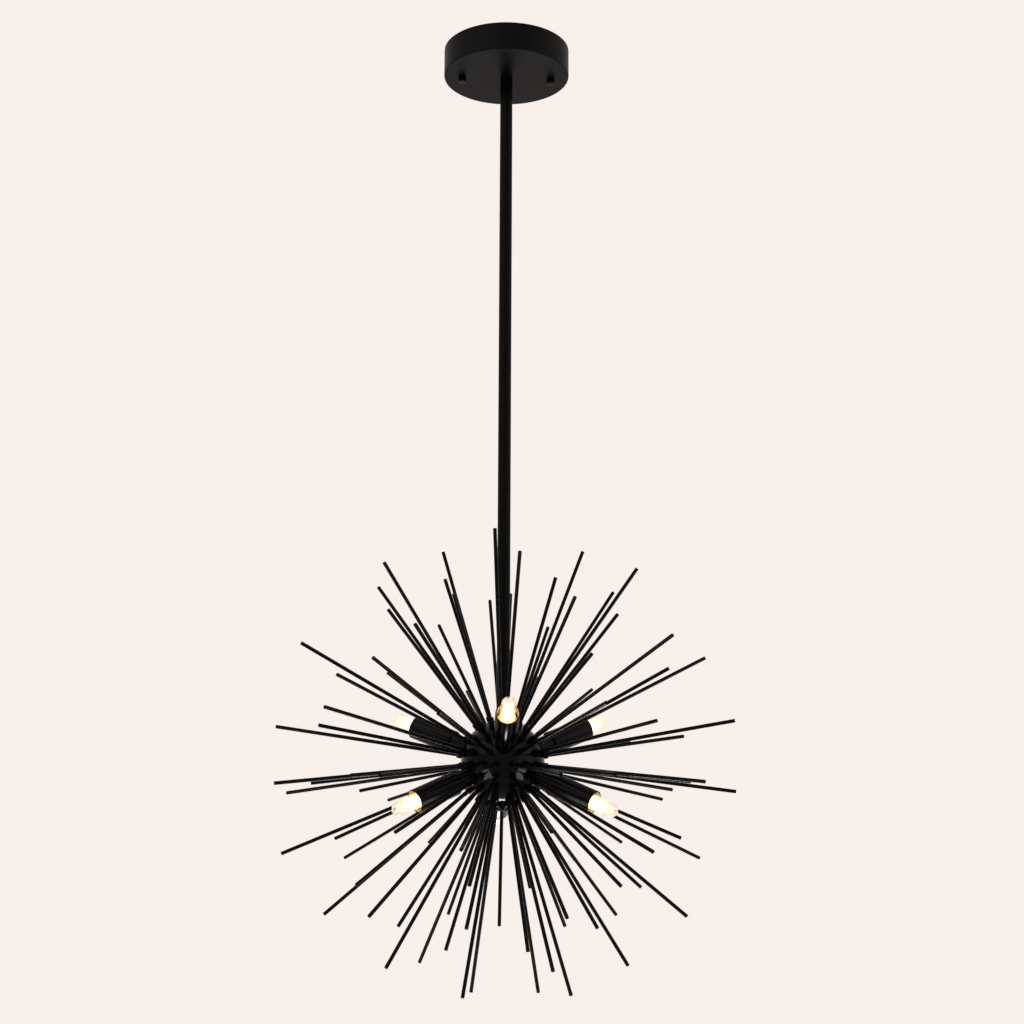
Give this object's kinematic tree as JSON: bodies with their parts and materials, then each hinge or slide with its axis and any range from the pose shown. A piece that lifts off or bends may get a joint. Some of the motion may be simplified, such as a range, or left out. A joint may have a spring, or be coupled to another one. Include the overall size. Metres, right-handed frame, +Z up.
{
  "type": "sputnik ceiling light",
  "caption": "Ceiling light with a ball on a straight downrod, lamp sockets and thin straight spikes of two lengths pointing every way.",
  "frame": {"origin": "middle of the ceiling plate's upper face, midway between its two screw slots, in the plane of the ceiling", "axes": "+Z up, along the downrod; +X to the right along the strap; -Y towards the viewer, where the front upper socket points"},
  "size_m": [0.4433, 0.4408, 0.95],
  "materials": {
    "canopy_paint": "satin black paint on spun steel",
    "rod_paint": "satin black paint on steel tube",
    "ball_paint": "gloss black paint on spun steel",
    "spike_paint": "gloss black paint on steel rod",
    "socket_paint": "gloss black paint on steel tube",
    "zinc_steel": "zinc plated steel",
    "tube_brass": "plain threaded brass tube",
    "holder_ceramic": "unglazed white steatite",
    "contact_copper": "sprung copper alloy leaf",
    "lamp_glass": "frosted glass capsule, lit",
    "lamp_pin": "nickel wire",
    "lamp_filament": "tungsten coil, lit",
    "lead_sheath": "black heat-proof sheath",
    "cap_plastic": "twist-on wire cap"
  },
  "bodies": {
    "fixture": {"canopy": "canopy_paint", "downrod": "rod_paint", "ball_upper_half": "ball_paint", "ball_lower_half": "ball_paint", "bottom_finial": "ball_paint", "spikes_crown": "spike_paint", "spikes_high": "spike_paint", "spikes_shoulder": "spike_paint", "spikes_upper_waist": "spike_paint", "spikes_lower_waist": "spike_paint", "spikes_hip": "spike_paint", "spikes_low": "spike_paint", "spikes_base": "spike_paint", "spikes_tail": "spike_paint", "spike_feet": "spike_paint", "socket_necks": "socket_paint", "socket_sleeves": "socket_paint", "mounting_strap": "zinc_steel", "canopy_studs": "zinc_steel", "stud_jam_nuts": "zinc_steel", "earth_screw": "zinc_steel", "stem_washer": "zinc_steel", "stem_hex_nut": "zinc_steel", "socket_nuts": "zinc_steel", "ball_seam_ring": "zinc_steel", "stem_top_nipple": "tube_brass", "ball_tie_tube": "tube_brass", "lamp_holders": "holder_ceramic", "holder_contacts": "contact_copper", "rod_lead": "lead_sheath", "canopy_cores": "lead_sheath", "socket_leads": "lead_sheath", "wire_caps": "cap_plastic", "ball_splices": "cap_plastic"},
    "cap_nut_left": {"canopy_cap_nut_left": "canopy_paint"},
    "cap_nut_right": {"canopy_cap_nut_right": "canopy_paint"},
    "lamp_1": {"lamp_1_glass": "lamp_glass", "lamp_1_pins": "lamp_pin", "lamp_1_filament": "lamp_filament"},
    "lamp_2": {"lamp_2_glass": "lamp_glass", "lamp_2_pins": "lamp_pin", "lamp_2_filament": "lamp_filament"},
    "lamp_3": {"lamp_3_glass": "lamp_glass", "lamp_3_pins": "lamp_pin", "lamp_3_filament": "lamp_filament"},
    "lamp_4": {"lamp_4_glass": "lamp_glass", "lamp_4_pins": "lamp_pin", "lamp_4_filament": "lamp_filament"},
    "lamp_5": {"lamp_5_glass": "lamp_glass", "lamp_5_pins": "lamp_pin", "lamp_5_filament": "lamp_filament"},
    "lamp_6": {"lamp_6_glass": "lamp_glass", "lamp_6_pins": "lamp_pin", "lamp_6_filament": "lamp_filament"}
  },
  "joints": [
    {"name": "lamp_1_pull", "type": "slide", "parent": "fixture", "child": "lamp_1", "axis": [0, -0.9367, 0.3502], "range_m": [0, 0.04]},
    {"name": "lamp_2_pull", "type": "slide", "parent": "fixture", "child": "lamp_2", "axis": [0.7972, -0.4603, -0.3907], "range_m": [0, 0.04]},
    {"name": "lamp_3_pull", "type": "slide", "parent": "fixture", "child": "lamp_3", "axis": [0.8112, 0.4683, 0.3502], "range_m": [0, 0.04]},
    {"name": "lamp_4_pull", "type": "slide", "parent": "fixture", "child": "lamp_4", "axis": [0, 0.9205, -0.3907], "range_m": [0, 0.04]},
    {"name": "lamp_5_pull", "type": "slide", "parent": "fixture", "child": "lamp_5", "axis": [-0.8112, 0.4683, 0.3502], "range_m": [0, 0.04]},
    {"name": "lamp_6_pull", "type": "slide", "parent": "fixture", "child": "lamp_6", "axis": [-0.7972, -0.4603, -0.3907], "range_m": [0, 0.04]},
    {"name": "cap_nut_left_turn", "type": "hinge", "parent": "fixture", "child": "cap_nut_left", "pos_m": [-0.046, 0, -0.031], "axis": [0, 0, 1], "continuous": true},
    {"name": "cap_nut_right_turn", "type": "hinge", "parent": "fixture", "child": "cap_nut_right", "pos_m": [0.046, 0, -0.031], "axis": [0, 0, 1], "continuous": true}
  ]
}
